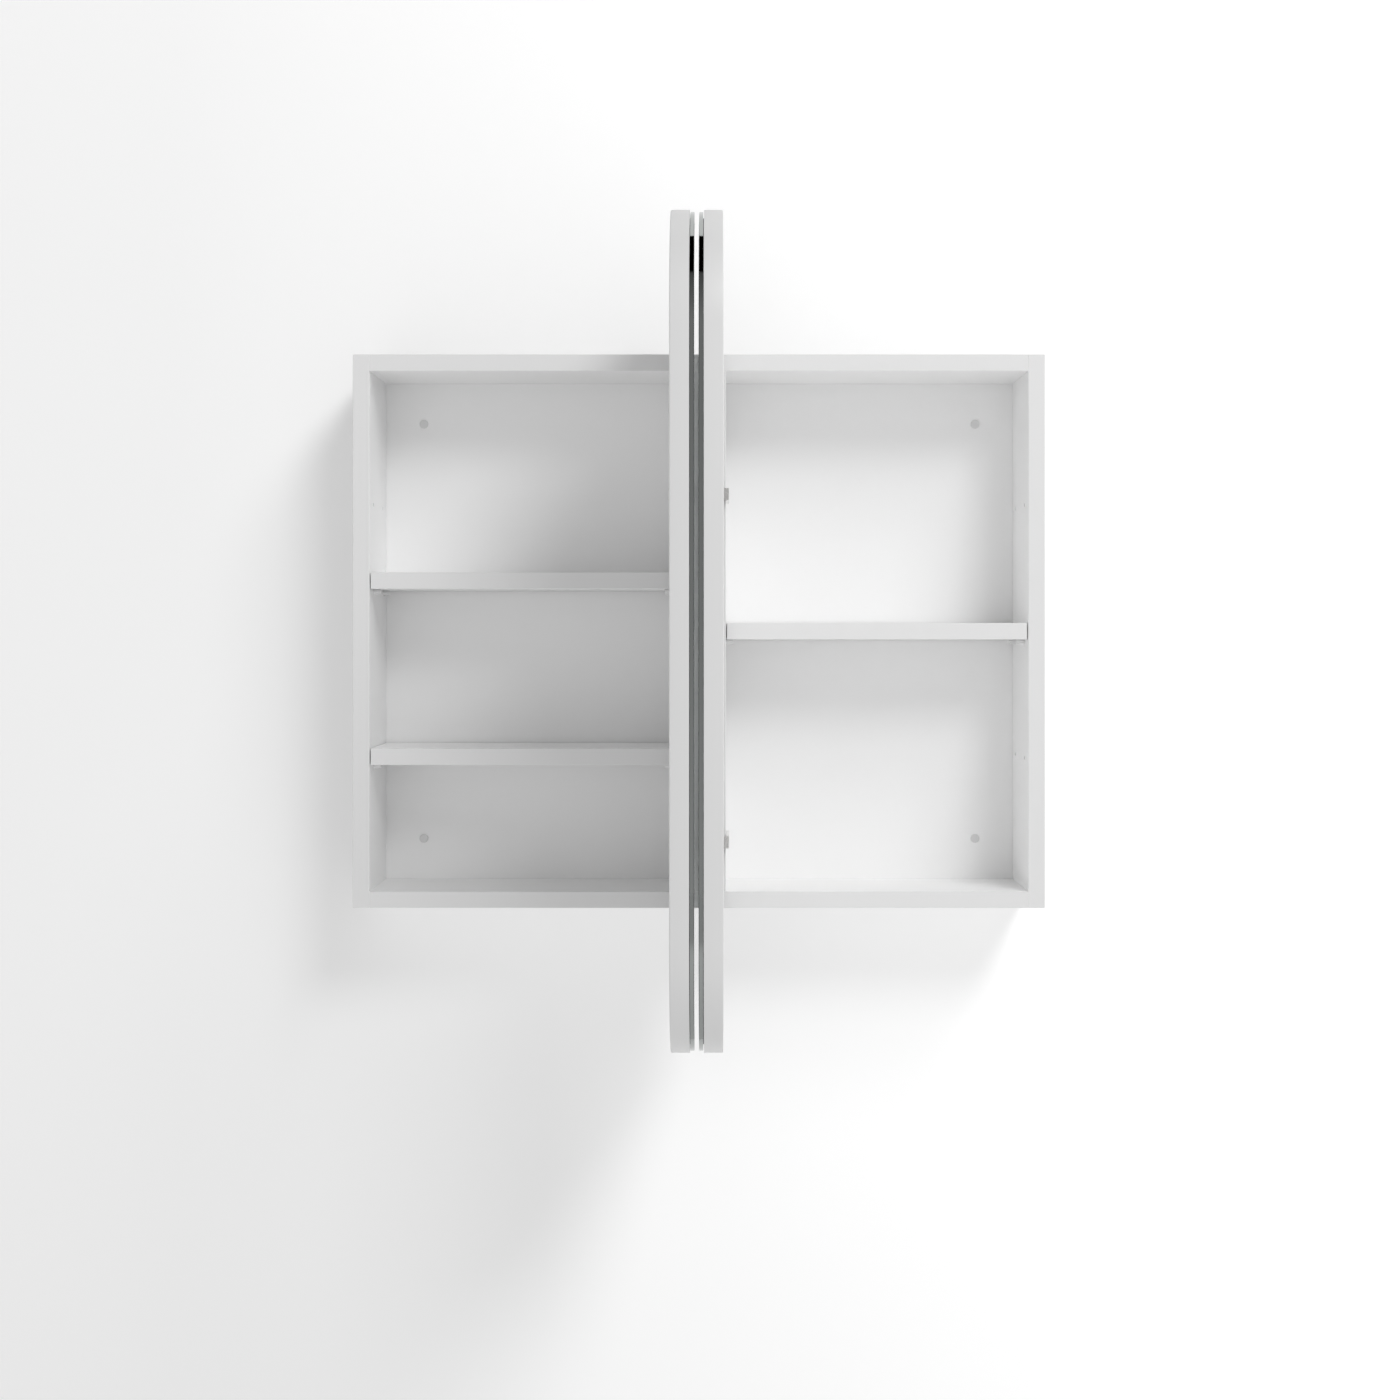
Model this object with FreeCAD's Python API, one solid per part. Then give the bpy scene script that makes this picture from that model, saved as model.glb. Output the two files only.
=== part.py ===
import FreeCAD, Part
import os

from FreeCAD import Vector

# A hanging wall cabinet with two mirror doors, in millimetres.
# X runs to the right, +Z is up, and the wall is the plane Y = 0.  The cabinet
# stands out from the wall towards -Y.  The origin is the middle of the wall
# face.  The doors are drawn open, square to the wall, mirror facing mirror.

# ---- driving dimensions -------------------------------------------------

cabinet_width = 750.0
cabinet_height = 600.0
cabinet_depth = 140.0
board = 18.0                     # sides, top, bottom, uprights and shelves
edge_round = 0.6                 # softened long edges of every lipped board

back_thickness = 8.0
back_recess = 7.0                # wall face to the rear of the back panel
groove_depth = 8.0               # how far the back panel enters the sides
groove_clear = 0.2

divider_beside_door = 4.7        # divider's side to the back of an open door
strip_depth = 18.0               # strip that closes the front of the divider

left_shelf_heights = (55.0, -136.0)
right_shelf_heights = (0.0,)
shelf_end_clear = 1.2
shelf_setback = 1.0
shelf_back_clear = 2.0

pin_dia = 5.0
pin_in_wall = 9.0
pin_out = 8.0
pin_collar_dia = 7.5
pin_collar = 1.2
pin_clear = 0.05
pin_front_row = 30.0             # cabinet front to the first row of pins
pin_back_row = 100.0
spare_hole_height = 138.5        # empty pin holes above and below the middle

dowel_dia = 8.0
dowel_length = 32.0
dowel_in_edge = 20.0             # part of a dowel that lies in the board's end
dowel_clear = 0.05
dowel_rows = (25.0, 70.0, 108.0) # from the cabinet front

fixing_in_from_side = 43.0       # wall fixing holes, from the inside faces
fixing_in_from_level = 46.0
fixing_hole_dia = 6.5            # through each spacer, for the wall screw
fixing_bore_dia = 8.2            # through the back panel, for the screw's head
spacer_dia = 22.0
cap_dia = 10.0
cap_head = 1.2
cap_plug = 4.0
cap_clear = 0.05

door_width = 402.0
door_height = 798.0
door_corner_r = 120.0            # the two outer corners of each door
door_board = 18.0
door_edge_round = 1.2
glue_thickness = 0.6
glue_inset = 8.0
mirror_thickness = 4.0
mirror_inset = 1.5               # glass edge behind the board's edge
mirror_arris = 0.5
door_front_gap = 2.0             # closed door to the cabinet front
door_half_gap = 3.0              # closed door to the middle plane
mirror_half_gap = 2.0            # open mirror face to the middle plane

hinge_below_top = 134.5          # hinge middles, from the inside faces
hinge_above_bottom = 55.0
hinge_names = ("upper", "lower")
pivot_x = 9.9                    # hinge pin to the middle plane
hinge_pin_dia = 2.5
pin_running_clear = 0.05
arm_height = 13.0
arm_thickness = 3.4              # leg that lies on the divider's side
arm_finger = 3.6                 # finger that reaches the pin, along Y
knuckle_r = 2.2
arm_reach_in = 52.0              # leg behind the cabinet front
arm_side_clear = 0.5             # arm to the cup, above and below
cup_wall = 1.2
cup_flange = 0.8
cup_flange_margin = 7.5
cup_end_clear = 0.8
cup_floor = 0.5
cup_pin_clear = 0.02
screw_dia = 3.5
screw_clear = 0.05
arm_screw_head_dia = 6.8
arm_screw_head = 1.9             # countersunk, flush with the arm
arm_screw_length = 14.0
arm_screw_places = (10.0, 42.0)  # from the cabinet front
cup_screw_head_dia = 6.0
cup_screw_head = 0.8
cup_screw_length = 11.0
driver_depth = 0.5               # cross recess in a screw's head

# ---- worked out from the above ------------------------------------------

front_y = -cabinet_depth
inner_half_width = cabinet_width / 2 - board
inner_half_height = cabinet_height / 2 - board
back_front_y = -(back_recess + back_thickness)
fixing_x = inner_half_width - fixing_in_from_side
fixing_z = inner_half_height - fixing_in_from_level
hinge_heights = (inner_half_height - hinge_below_top, hinge_above_bottom - inner_half_height)
door_total = door_board + glue_thickness + mirror_thickness
door_back_x = mirror_half_gap + door_total
divider_half = door_back_x + divider_beside_door
pivot_depth = door_back_x - pivot_x          # pin behind the door's back face
pivot_y = front_y - door_front_gap - pivot_depth
pivot_from_edge = pivot_x - door_half_gap    # pin to the door's hinge edge
door_edge_y = pivot_y + pivot_from_edge      # hinge edge of the open door


# ---- helpers --------------------------------------------------------------

def block(x0, x1, y0, y1, z0, z1):
    """A box between two corners, given in any order."""
    low = Vector(min(x0, x1), min(y0, y1), min(z0, z1))
    size = (abs(x1 - x0), abs(y1 - y0), abs(z1 - z0))
    return Part.makeBox(size[0], size[1], size[2], low)


def rod(diameter, start, direction, length):
    """A round bar that starts at a point and runs along a direction."""
    return Part.makeCylinder(diameter / 2, length, Vector(*start), Vector(*direction))


def mirrored(shape):
    """The same shape on the other side of the middle plane."""
    return shape.mirror(Vector(0, 0, 0), Vector(1, 0, 0))


def cut_all(shape, tools):
    for tool in tools:
        shape = shape.cut(tool)
    return shape


def edges_at(shape, test):
    """Edges whose two ends both pass the test."""
    found = []
    for edge in shape.Edges:
        points = [vertex.Point for vertex in edge.Vertexes]
        if len(points) == 2 and all(test(point) for point in points):
            found.append(edge)
    return found


def soften_front(shape, y):
    """Round the edges that lie on the plane Y = y."""
    return shape.makeFillet(edge_round, edges_at(shape, lambda p: abs(p.y - y) < 1e-6))


def save(name, solids):
    """Write one piece, or a group of equal pieces, as its own file."""
    shape = solids[0] if len(solids) == 1 else Part.makeCompound(solids)
    shape.exportStep("parts/" + name + ".step")
    print(name, len(shape.Solids), [round(v, 1) for v in (
        shape.BoundBox.XLength, shape.BoundBox.YLength, shape.BoundBox.ZLength)])


# ---- carcass --------------------------------------------------------------

def dowel(x, y, z, direction, clear=0.0):
    """A dowel across a joint; clear makes the hole that it sits in."""
    back = Vector(*direction) * (dowel_length - dowel_in_edge + clear)
    start = Vector(x, y, z) - back
    return rod(dowel_dia + 2 * clear, tuple(start), direction, dowel_length + 2 * clear)


def corner_dowels(clear=0.0):
    """Dowels from the sides into the ends of the top and the bottom."""
    middle = inner_half_height + board / 2
    return [
        dowel(side * inner_half_width, front_y + row, level * middle, (-side, 0, 0), clear)
        for side in (-1, 1) for level in (-1, 1) for row in dowel_rows
    ]


def upright_dowels(clear=0.0):
    """Dowels from the top and the bottom into the two uprights."""
    x = divider_half - board / 2
    return [
        dowel(side * x, front_y + row, level * inner_half_height, (0, 0, -level), clear)
        for side in (-1, 1) for level in (-1, 1) for row in dowel_rows[1:]
    ]


def pin_places():
    """Every shelf: its name, the walls that carry it and its height."""
    left_walls = ((-inner_half_width, 1), (-divider_half, -1))
    right_walls = ((divider_half, 1), (inner_half_width, -1))
    names = ("shelf_left_upper", "shelf_left_lower")
    places = [(name, left_walls, z) for name, z in zip(names, left_shelf_heights)]
    places += [("shelf_right", right_walls, z) for z in right_shelf_heights]
    return places


def pin_axis_height(shelf_z):
    return shelf_z - board / 2 - pin_dia / 2


def pin_holes():
    """Holes for the shelf pins, and the empty ones, in both faces they need."""
    holes = []
    spots = set()
    for name, walls, shelf_z in pin_places():
        for wall in walls:
            for z in (pin_axis_height(shelf_z), spare_hole_height, -spare_hole_height):
                spots.add((wall, z))
    for (x, inward), z in sorted(spots):
        for row in (pin_front_row, pin_back_row):
            depth = pin_in_wall + 2 * pin_clear
            holes.append(rod(pin_dia + 2 * pin_clear, (x, front_y + row, z), (-inward, 0, 0), depth))
    return holes


def back_slot():
    """Room for the back panel, wider than the inside by the groove depth."""
    half_x = inner_half_width + groove_depth + groove_clear
    half_z = inner_half_height + groove_depth + groove_clear
    rear = -back_recess + groove_clear
    front = back_front_y - groove_clear
    return block(-half_x, half_x, rear, front, -half_z, half_z)


def side_panel():
    """Right-hand side: a full-height board with the groove and the holes."""
    x0 = inner_half_width
    half = cabinet_height / 2
    side = block(x0, x0 + board, front_y, 0, -half, half)
    side = soften_front(side, front_y)
    return cut_all(side, [back_slot()] + corner_dowels(dowel_clear))


def level_panel(sign):
    """Top (+1) or bottom (-1), fitted between the sides."""
    z0 = sign * inner_half_height
    z1 = sign * cabinet_height / 2
    panel = block(-inner_half_width, inner_half_width, front_y, 0, z0, z1)
    panel = soften_front(panel, front_y)
    return cut_all(panel, [back_slot()] + corner_dowels(dowel_clear) + upright_dowels(dowel_clear))


def back_panel():
    half_x = inner_half_width + groove_depth
    half_z = inner_half_height + groove_depth
    panel = block(-half_x, half_x, -back_recess, back_front_y, -half_z, half_z)
    bores = [
        rod(fixing_bore_dia, (sx * fixing_x, 0, sz * fixing_z), (0, -1, 0), cabinet_depth)
        for sx in (-1, 1) for sz in (-1, 1)
    ]
    return cut_all(panel, bores)


def upright():
    """Right-hand board of the centre divider, behind the front strip."""
    y0 = front_y + strip_depth
    half = inner_half_height
    return block(divider_half - board, divider_half, y0, back_front_y, -half, half)


def divider_strip():
    """Front strip that covers both uprights and the space between them."""
    half = inner_half_height
    strip = block(-divider_half, divider_half, front_y, front_y + strip_depth, -half, half)
    return soften_front(strip, front_y)


# ---- shelves ----------------------------------------------------------------

def shelf(walls, z):
    x0 = min(walls[0][0], walls[1][0]) + shelf_end_clear
    x1 = max(walls[0][0], walls[1][0]) - shelf_end_clear
    y0 = front_y + shelf_setback
    y1 = back_front_y - shelf_back_clear
    plate = block(x0, x1, y0, y1, z - board / 2, z + board / 2)
    return soften_front(plate, y0)


def shelf_pin(x, inward, y, z):
    """A stepped pin: shank in the wall, collar on it, round nose beyond."""
    shank = rod(pin_dia, (x - inward * pin_in_wall, y, z), (inward, 0, 0), pin_in_wall + pin_out)
    low = z - pin_collar_dia / 2
    collar = rod(pin_collar_dia, (x, y, z), (inward, 0, 0), pin_collar)
    trim = block(x, x + inward * pin_collar, y - pin_collar_dia, y + pin_collar_dia,
                 z + pin_dia / 2, low + 2 * pin_collar_dia)
    return shank.fuse(collar).cut(trim).removeSplitter()


def shelf_pins(walls, shelf_z):
    z = pin_axis_height(shelf_z)
    return [
        shelf_pin(x, inward, front_y + row, z)
        for x, inward in walls for row in (pin_front_row, pin_back_row)
    ]


# ---- wall fixing --------------------------------------------------------------

def wall_spacer(x, z):
    """Ring that fills the space between the back panel and the wall."""
    ring = rod(spacer_dia, (x, 0, z), (0, -1, 0), back_recess)
    return ring.cut(rod(fixing_hole_dia, (x, 0, z), (0, -1, 0), back_recess))


def hole_cap(x, z):
    """Snap-in cap over a fixing hole, inside the cabinet."""
    head = rod(cap_dia, (x, back_front_y, z), (0, -1, 0), cap_head)
    rim = [edge for edge in head.Edges if abs(edge.BoundBox.YMin - back_front_y + cap_head) < 1e-3
           and abs(edge.BoundBox.YLength) < 1e-3]
    head = head.makeFillet(cap_head / 2, rim)
    plug_dia = fixing_bore_dia - 2 * cap_clear
    plug = rod(plug_dia, (x, back_front_y + cap_plug, z), (0, -1, 0), cap_plug)
    hollow = rod(plug_dia - cap_head * 2, (x, back_front_y + cap_plug, z), (0, -1, 0), cap_plug)
    return head.fuse(plug.cut(hollow)).removeSplitter()


# ---- doors ----------------------------------------------------------------------

def door_plate(x0, x1, inset):
    """A plate with the door's outline: square hinge edge, two round corners."""
    y_hinge = door_edge_y - inset
    y_free = door_edge_y - door_width + inset
    half = door_height / 2 - inset
    plate = block(x0, x1, y_hinge, y_free, -half, half)
    corners = edges_at(plate, lambda p: abs(p.y - y_free) < 1e-6 and abs(abs(p.z) - half) < 1e-6)
    corners = [edge for edge in corners if edge.BoundBox.XLength > (x1 - x0) / 2]
    return plate.makeFillet(door_corner_r - inset, corners)


def hinge_slot(z):
    """Room that the hinge cup takes out of the right-hand door's board."""
    return cup_outside(z, 0.0)


def door_panel():
    """Right-hand door board, with its back edges softened and two slots."""
    plate = door_plate(door_back_x - door_board, door_back_x, 0.0)
    rim = edges_at(plate, lambda p: abs(p.x - door_back_x) < 1e-6)
    plate = plate.makeFillet(door_edge_round, rim)
    tools = []
    for z in hinge_heights:
        tools.append(hinge_slot(z))
        tools += [cup_screw_hole(z, sign) for sign in (-1, 1)]
    return cut_all(plate, tools)


def glue_film():
    """Sheet of adhesive between the board and the glass."""
    x0 = mirror_half_gap + mirror_thickness
    return door_plate(x0, x0 + glue_thickness, glue_inset)


def mirror_glass():
    plate = door_plate(mirror_half_gap, mirror_half_gap + mirror_thickness, mirror_inset)
    rim = edges_at(plate, lambda p: abs(p.x - mirror_half_gap) < 1e-6)
    return plate.makeChamfer(mirror_arris, rim)


# ---- hinges: right-hand side, mirrored for the left ----------------------------

def cup_inside_half_height():
    return arm_height / 2 + arm_side_clear


def cup_depth():
    """How deep the cup reaches behind the door's back face."""
    return pivot_depth + knuckle_r + pin_running_clear + cup_floor


def cup_y_range(margin):
    """Hinge-edge end and far end of the cup, with a margin outside its room."""
    near = pivot_y + knuckle_r + pin_running_clear + cup_floor + margin
    far = pivot_y - (divider_half + arm_thickness - pivot_x) - cup_end_clear - margin
    return near, far


def cup_outside(z, grow):
    near, far = cup_y_range(cup_floor)
    half = cup_inside_half_height() + cup_wall + grow
    return block(door_back_x - cup_depth(), door_back_x, near + grow, far - grow, z - half, z + half)


def hinge_cup(z):
    """Open box let into the door's back, with ears for two screws."""
    body = cup_outside(z, 0.0)
    near, far = cup_y_range(0.0)
    half = cup_inside_half_height()
    room = block(door_back_x - cup_depth() + cup_floor, door_back_x + cup_flange,
                 near, far, z - half, z + half)
    near_out, far_out = cup_y_range(cup_floor)
    flange_near = near_out
    flange_far = far_out - cup_floor
    ear = half + cup_wall + cup_flange_margin
    flange = block(door_back_x, door_back_x + cup_flange, flange_near, flange_far, z - ear, z + ear)
    corners = edges_at(flange, lambda p: abs(abs(p.z - z) - ear) < 1e-6)
    corners = [edge for edge in corners if edge.BoundBox.XLength > cup_flange / 2]
    flange = flange.makeFillet(cup_flange_margin / 2, corners)
    cup = body.fuse(flange).cut(room)
    bore = rod(hinge_pin_dia + 2 * cup_pin_clear, (pivot_x, pivot_y, z - ear), (0, 0, 1), 2 * ear)
    tools = [bore] + [cup_screw_hole(z, sign) for sign in (-1, 1)]
    return cut_all(cup, tools).removeSplitter()


def cup_screw(z, sign):
    """Flat-headed screw through one ear of the cup."""
    y, level, top = cup_screw_place(z, sign)
    shank = rod(screw_dia, (top, y, level), (-1, 0, 0), cup_screw_length)
    head = rod(cup_screw_head_dia, (top, y, level), (1, 0, 0), cup_screw_head)
    whole = head.fuse(shank)
    return driver_recess(whole, top + cup_screw_head, y, level, cup_screw_head_dia)


def cup_screw_hole(z, sign):
    y, level, top = cup_screw_place(z, sign)
    length = cup_screw_length + screw_clear
    return rod(screw_dia + 2 * screw_clear, (top, y, level), (-1, 0, 0), length)


def cup_screw_place(z, sign):
    """Where a screw meets the outer face of the cup's ear: Y, Z and X."""
    near, far = cup_y_range(0.0)
    level = z + sign * (cup_inside_half_height() + cup_wall + cup_flange_margin / 2)
    return (near + far) / 2, level, door_back_x + cup_flange


def driver_recess(screw, top, y, z, head_dia):
    """Cross-shaped recess for a driver, cut into a screw's head."""
    long_side = head_dia * 0.5
    short_side = head_dia * 0.13
    bars = [
        block(top, top - driver_depth, y - a / 2, y + a / 2, z - b / 2, z + b / 2)
        for a, b in ((long_side, short_side), (short_side, long_side))
    ]
    return cut_all(screw, bars).removeSplitter()


def hinge_arm(z):
    """Bent arm: a leg on the divider's side and a finger to the pin."""
    low = z - arm_height / 2
    high = z + arm_height / 2
    outer = divider_half + arm_thickness
    leg = block(divider_half, outer, front_y + arm_reach_in, pivot_y - arm_finger / 2, low, high)
    finger = block(pivot_x, outer, pivot_y - arm_finger / 2, pivot_y + arm_finger / 2, low, high)
    knuckle = rod(2 * knuckle_r, (pivot_x, pivot_y, low), (0, 0, 1), arm_height)
    arm = leg.fuse([finger, knuckle]).removeSplitter()
    bend = [edge for edge in arm.Edges
            if abs(edge.Vertexes[0].X - outer) < 1e-6 and abs(edge.Vertexes[-1].X - outer) < 1e-6
            and edge.BoundBox.ZLength > arm_height / 2
            and abs(edge.BoundBox.YMin - pivot_y + arm_finger / 2) < 1e-3]
    arm = arm.makeFillet(arm_thickness * 0.8, bend)
    bore = rod(hinge_pin_dia + 2 * pin_running_clear, (pivot_x, pivot_y, low), (0, 0, 1), arm_height)
    holes = [countersunk(z, place, screw_clear) for place in arm_screw_places]
    return cut_all(arm, [bore] + holes)


def countersunk(z, place, grow):
    """Body of an arm screw; grown by a clearance it is the hole for it."""
    top = divider_half + arm_thickness
    y = front_y + place
    shank = rod(screw_dia + 2 * grow, (top, y, z), (-1, 0, 0), arm_screw_length + grow)
    head = Part.makeCone(arm_screw_head_dia / 2 + grow, screw_dia / 2 + grow, arm_screw_head,
                         Vector(top, y, z), Vector(-1, 0, 0))
    return head.fuse(shank)


def arm_screw(z, place):
    """Countersunk screw that holds the arm to the divider."""
    top = divider_half + arm_thickness
    return driver_recess(countersunk(z, place, 0.0), top, front_y + place, z, arm_screw_head_dia)


def hinge_pin(z):
    half = cup_inside_half_height() + cup_wall
    return rod(hinge_pin_dia, (pivot_x, pivot_y, z - half), (0, 0, 1), 2 * half)


# ---- build ------------------------------------------------------------------------

def cut_for_arms(shape):
    """Screw holes of the right-hand arms, in an upright or the strip."""
    screws = [countersunk(z, place, screw_clear) for z in hinge_heights for place in arm_screw_places]
    return cut_all(shape, screws)


def build_carcass():
    holes = pin_holes()
    right = side_panel()
    save("side_right", [cut_all(right, holes)])
    save("side_left", [cut_all(mirrored(right), holes)])
    save("top_panel", [level_panel(1)])
    save("bottom_panel", [level_panel(-1)])
    save("back_panel", [back_panel()])
    board_dowels = upright_dowels(dowel_clear)
    post = cut_all(cut_for_arms(upright()), board_dowels)
    save("upright_right", [cut_all(post, holes)])
    save("upright_left", [cut_all(mirrored(post), holes)])
    strip = cut_for_arms(mirrored(cut_for_arms(divider_strip())))
    save("divider_strip", [strip])
    save("corner_dowels", corner_dowels())
    save("upright_dowels", upright_dowels())


def build_shelves():
    for name, walls, z in pin_places():
        save(name, [shelf(walls, z)])
        save(name.replace("shelf", "shelf_pins"), shelf_pins(walls, z))


def build_wall_fixing():
    spots = [(sx * fixing_x, sz * fixing_z) for sx in (-1, 1) for sz in (-1, 1)]
    save("wall_spacers", [wall_spacer(x, z) for x, z in spots])
    save("fixing_caps", [hole_cap(x, z) for x, z in spots])


def build_doors():
    for name, shape in (("door_board", door_panel()), ("mirror_glue", glue_film()),
                        ("mirror", mirror_glass())):
        save(name + "_right", [shape])
        save(name + "_left", [mirrored(shape)])


def build_hinges():
    for level, z in zip(hinge_names, hinge_heights):
        pieces = {
            "hinge_arm": [hinge_arm(z)],
            "hinge_cup": [hinge_cup(z)],
            "hinge_pin": [hinge_pin(z)],
            "hinge_arm_screws": [arm_screw(z, place) for place in arm_screw_places],
            "hinge_cup_screws": [cup_screw(z, sign) for sign in (-1, 1)],
        }
        for name, solids in pieces.items():
            save(name + "_right_" + level, solids)
            save(name + "_left_" + level, [mirrored(solid) for solid in solids])


os.makedirs("parts", exist_ok=True)
build_carcass()
build_shelves()
build_wall_fixing()
build_doors()
build_hinges()
print("pivot", round(pivot_x, 2), round(pivot_y, 2), "door edge", round(door_edge_y, 2))
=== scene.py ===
# %% [markdown]
# # A hanging wall cabinet with two mirror doors
# The cabinet is a shallow white box that hangs on a wall.  Its two mirror doors stand open
# at ninety degrees, mirror to mirror in the middle.  This lesson dresses the engineering
# model of that cabinet: it loads the measured parts, models the doors and the hole caps again
# with smooth round edges, gives every part a finish, and sets up a wall, lights and a camera.
# Everything is in metres, with the wall at Y = 0 and the cabinet standing out towards -Y.

# %% Load the measured model
import math

import bmesh
import bpy
from mathutils import Matrix, Vector


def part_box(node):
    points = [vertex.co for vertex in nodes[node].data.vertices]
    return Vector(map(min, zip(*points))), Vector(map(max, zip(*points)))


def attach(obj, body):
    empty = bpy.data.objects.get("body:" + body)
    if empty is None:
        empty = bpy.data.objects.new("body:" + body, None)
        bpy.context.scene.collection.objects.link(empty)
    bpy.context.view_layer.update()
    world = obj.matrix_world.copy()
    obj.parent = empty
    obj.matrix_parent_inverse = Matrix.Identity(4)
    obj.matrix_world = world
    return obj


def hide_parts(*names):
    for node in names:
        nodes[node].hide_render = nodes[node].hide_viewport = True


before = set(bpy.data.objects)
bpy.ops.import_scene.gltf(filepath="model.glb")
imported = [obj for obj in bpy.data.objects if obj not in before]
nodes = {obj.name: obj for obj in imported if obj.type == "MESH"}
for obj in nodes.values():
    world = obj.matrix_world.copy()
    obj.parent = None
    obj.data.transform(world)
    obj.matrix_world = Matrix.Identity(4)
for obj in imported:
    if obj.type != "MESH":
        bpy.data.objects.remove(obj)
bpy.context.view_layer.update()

# %% [markdown]
# ## The camera
# The view is straight on, so that every vertical and horizontal edge of the cabinet stays
# parallel to the picture's sides.  An architect's camera does this with a shifted lens:
# the camera keeps looking level while the lens slides down a little, and the middle of the
# picture falls below the middle of the cabinet.  A long lens at two and a half metres makes
# the nearer door edges only a little larger than the cabinet behind them.

# %% Camera
CAMERA_PLACE = (0.0128, -2.54, 0.0)
CAMERA_LENS = 56.96            # mm
SENSOR_WIDTH = 36.0            # mm
CAMERA_SHIFT = (-0.0076, -0.0491)
NEAREST_SEEN = 0.05
FARTHEST_SEEN = 60.0
QUARTER_TURN = math.radians(90.0)

camera_data = bpy.data.cameras.new("camera")
camera_data.lens = CAMERA_LENS
camera_data.sensor_width = SENSOR_WIDTH
camera_data.shift_x, camera_data.shift_y = CAMERA_SHIFT
camera_data.clip_start = NEAREST_SEEN
camera_data.clip_end = FARTHEST_SEEN
camera = bpy.data.objects.new("camera", camera_data)
camera.location = CAMERA_PLACE
camera.rotation_euler = (QUARTER_TURN, 0.0, 0.0)
bpy.context.scene.collection.objects.link(camera)
bpy.context.scene.camera = camera

# %% [markdown]
# ## Building materials from nodes
# A finish here is a Principled shader whose colour, roughness and fine relief change a
# little over the surface, as they do on a real sprayed or moulded part.  Three small
# helpers keep the node code short: one adds a node and sets its inputs, one wires two
# sockets, and one starts a material.  All patterns read Object coordinates, which are plain
# metres here, so a scale of 1000 means a pattern of about one millimetre.

# %% Node helpers


def add_node(tree, kind, **inputs):
    """Add a node; a keyword sets the input of that name, with _ for a space."""
    node = tree.nodes.new(kind)
    for name, value in inputs.items():
        node.inputs[name.replace("_", " ")].default_value = value
    return node


def wire(tree, source, target):
    tree.links.new(source, target)


def start_material(name, base, roughness, metallic=0.0, **plain):
    """A material with a Principled shader; plain numbers go on its sockets."""
    material = bpy.data.materials.new(name)
    material.use_nodes = True
    tree = material.node_tree
    shader = tree.nodes["Principled BSDF"]
    shader.inputs["Base Color"].default_value = (*base, 1.0)
    shader.inputs["Roughness"].default_value = roughness
    shader.inputs["Metallic"].default_value = metallic
    for socket, value in plain.items():
        shader.inputs[socket.replace("_", " ")].default_value = value
    return material, tree, shader


print("helpers:", add_node.__name__, wire.__name__, start_material.__name__)

# %% [markdown]
# ## Small tools for node trees
# A group needs inputs and outputs with names, a value often has to be worked out from two
# others, and colours are blended by a mask.  Each of these takes several lines of node code,
# so each gets one helper, and the effects below stay short enough to read.

# %% Tools for node trees


def start_group(name, inputs, outputs):
    """A node group with inputs (name, kind, default), outputs (name, kind) and a mapping."""
    group = bpy.data.node_groups.new(name, "ShaderNodeTree")
    for label, kind, default in inputs:
        socket = group.interface.new_socket(label, in_out="INPUT", socket_type=kind)
        socket.default_value = default
    for label, kind in outputs:
        group.interface.new_socket(label, in_out="OUTPUT", socket_type=kind)
    source = group.nodes.new("NodeGroupInput")
    target = group.nodes.new("NodeGroupOutput")
    place = group.nodes.new("ShaderNodeTexCoord")
    mapping = group.nodes.new("ShaderNodeMapping")
    wire(group, place.outputs["Object"], mapping.inputs["Vector"])
    return group, source, target, mapping


def add_math(tree, operation, first, second):
    """A Math node whose inputs are sockets or plain numbers."""
    node = tree.nodes.new("ShaderNodeMath")
    node.operation = operation
    for value, socket in zip((first, second), node.inputs):
        if isinstance(value, (int, float)):
            socket.default_value = value
        else:
            wire(tree, value, socket)
    return node.outputs["Value"]


def mix_colours(tree, factor, first, second):
    """A Mix node for colours, blended by a mask socket."""
    node = tree.nodes.new("ShaderNodeMix")
    node.data_type = "RGBA"
    socket = {entry.identifier: entry for entry in node.inputs}
    wire(tree, factor, socket["Factor_Float"])
    for value, name in ((first, "A_Color"), (second, "B_Color")):
        if isinstance(value, tuple):
            socket[name].default_value = (*value, 1.0)
        else:
            wire(tree, value, socket[name])
    return {entry.identifier: entry for entry in node.outputs}["Result_Color"]


print("tools:", start_group.__name__, add_math.__name__, mix_colours.__name__)

# %% [markdown]
# ## Effects shared by several finishes
# Sprayed lacquer is never a perfect sheet: it has *orange peel*, a soft ripple of about
# two millimetres, and slow changes of tone where the spray fell thicker.  Faces that look
# up also gather a little dust.  A greyer white on the edges of the boards and doors is
# painted shade.  Each effect is a node group with named inputs and outputs, so that every
# finish can use it with its own strength.  The groups only put out heights, masks and
# colours; the shader itself stays in each material.

# %% Shared node groups
FACES_THE_AXIS = 0.7           # a face looks along an axis from this cosine on


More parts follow.
